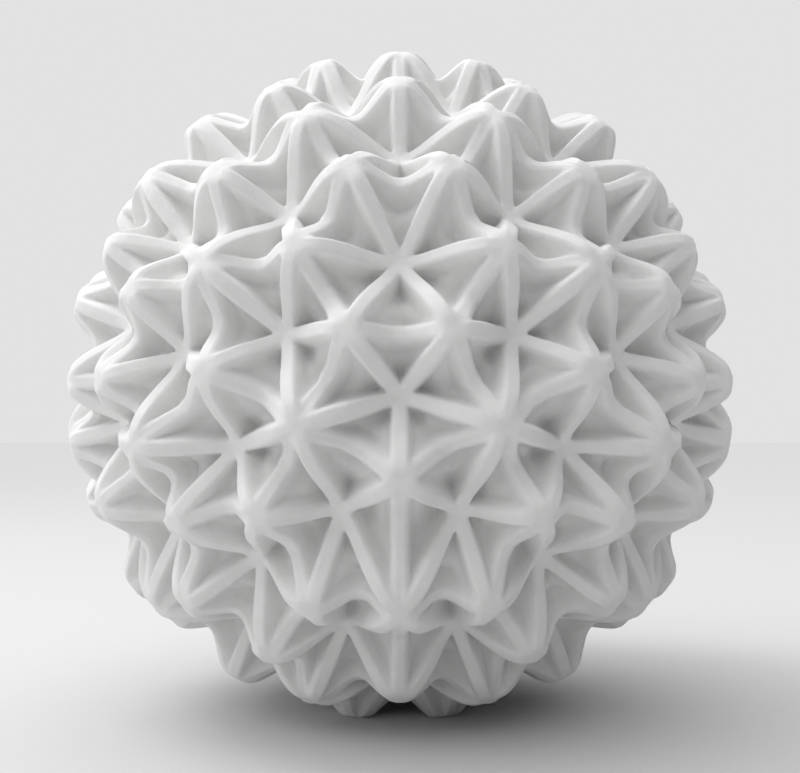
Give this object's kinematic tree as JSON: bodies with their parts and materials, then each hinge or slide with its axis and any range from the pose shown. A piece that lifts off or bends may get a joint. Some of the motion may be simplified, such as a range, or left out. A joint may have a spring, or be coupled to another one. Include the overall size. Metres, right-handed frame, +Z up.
{
  "type": "paper honeycomb ball",
  "caption": "Hollow round decoration ball with a net of raised ribs that meet in star-shaped tips around sunken cells, standing on flat tips.",
  "frame": {"origin": "under the middle of the ball, on the surface that it stands on", "axes": "+Z up; the six-sided unit that faces front is on the -Y side; +X is the viewer's right"},
  "size_m": [0.2004, 0.1982, 0.196],
  "materials": {
    "folded_sheet": "matte"
  },
  "bodies": {
    "root": {"six_sided_unit_01": "folded_sheet", "six_sided_unit_02": "folded_sheet", "six_sided_unit_03": "folded_sheet", "six_sided_unit_04": "folded_sheet", "five_sided_unit_01": "folded_sheet", "five_sided_unit_02": "folded_sheet", "five_sided_unit_03": "folded_sheet", "five_sided_unit_04": "folded_sheet", "five_sided_unit_05": "folded_sheet", "five_sided_unit_06": "folded_sheet", "five_sided_unit_07": "folded_sheet", "five_sided_unit_08": "folded_sheet", "five_sided_unit_09": "folded_sheet", "five_sided_unit_10": "folded_sheet", "five_sided_unit_11": "folded_sheet", "five_sided_unit_12": "folded_sheet"}
  },
  "joints": []
}
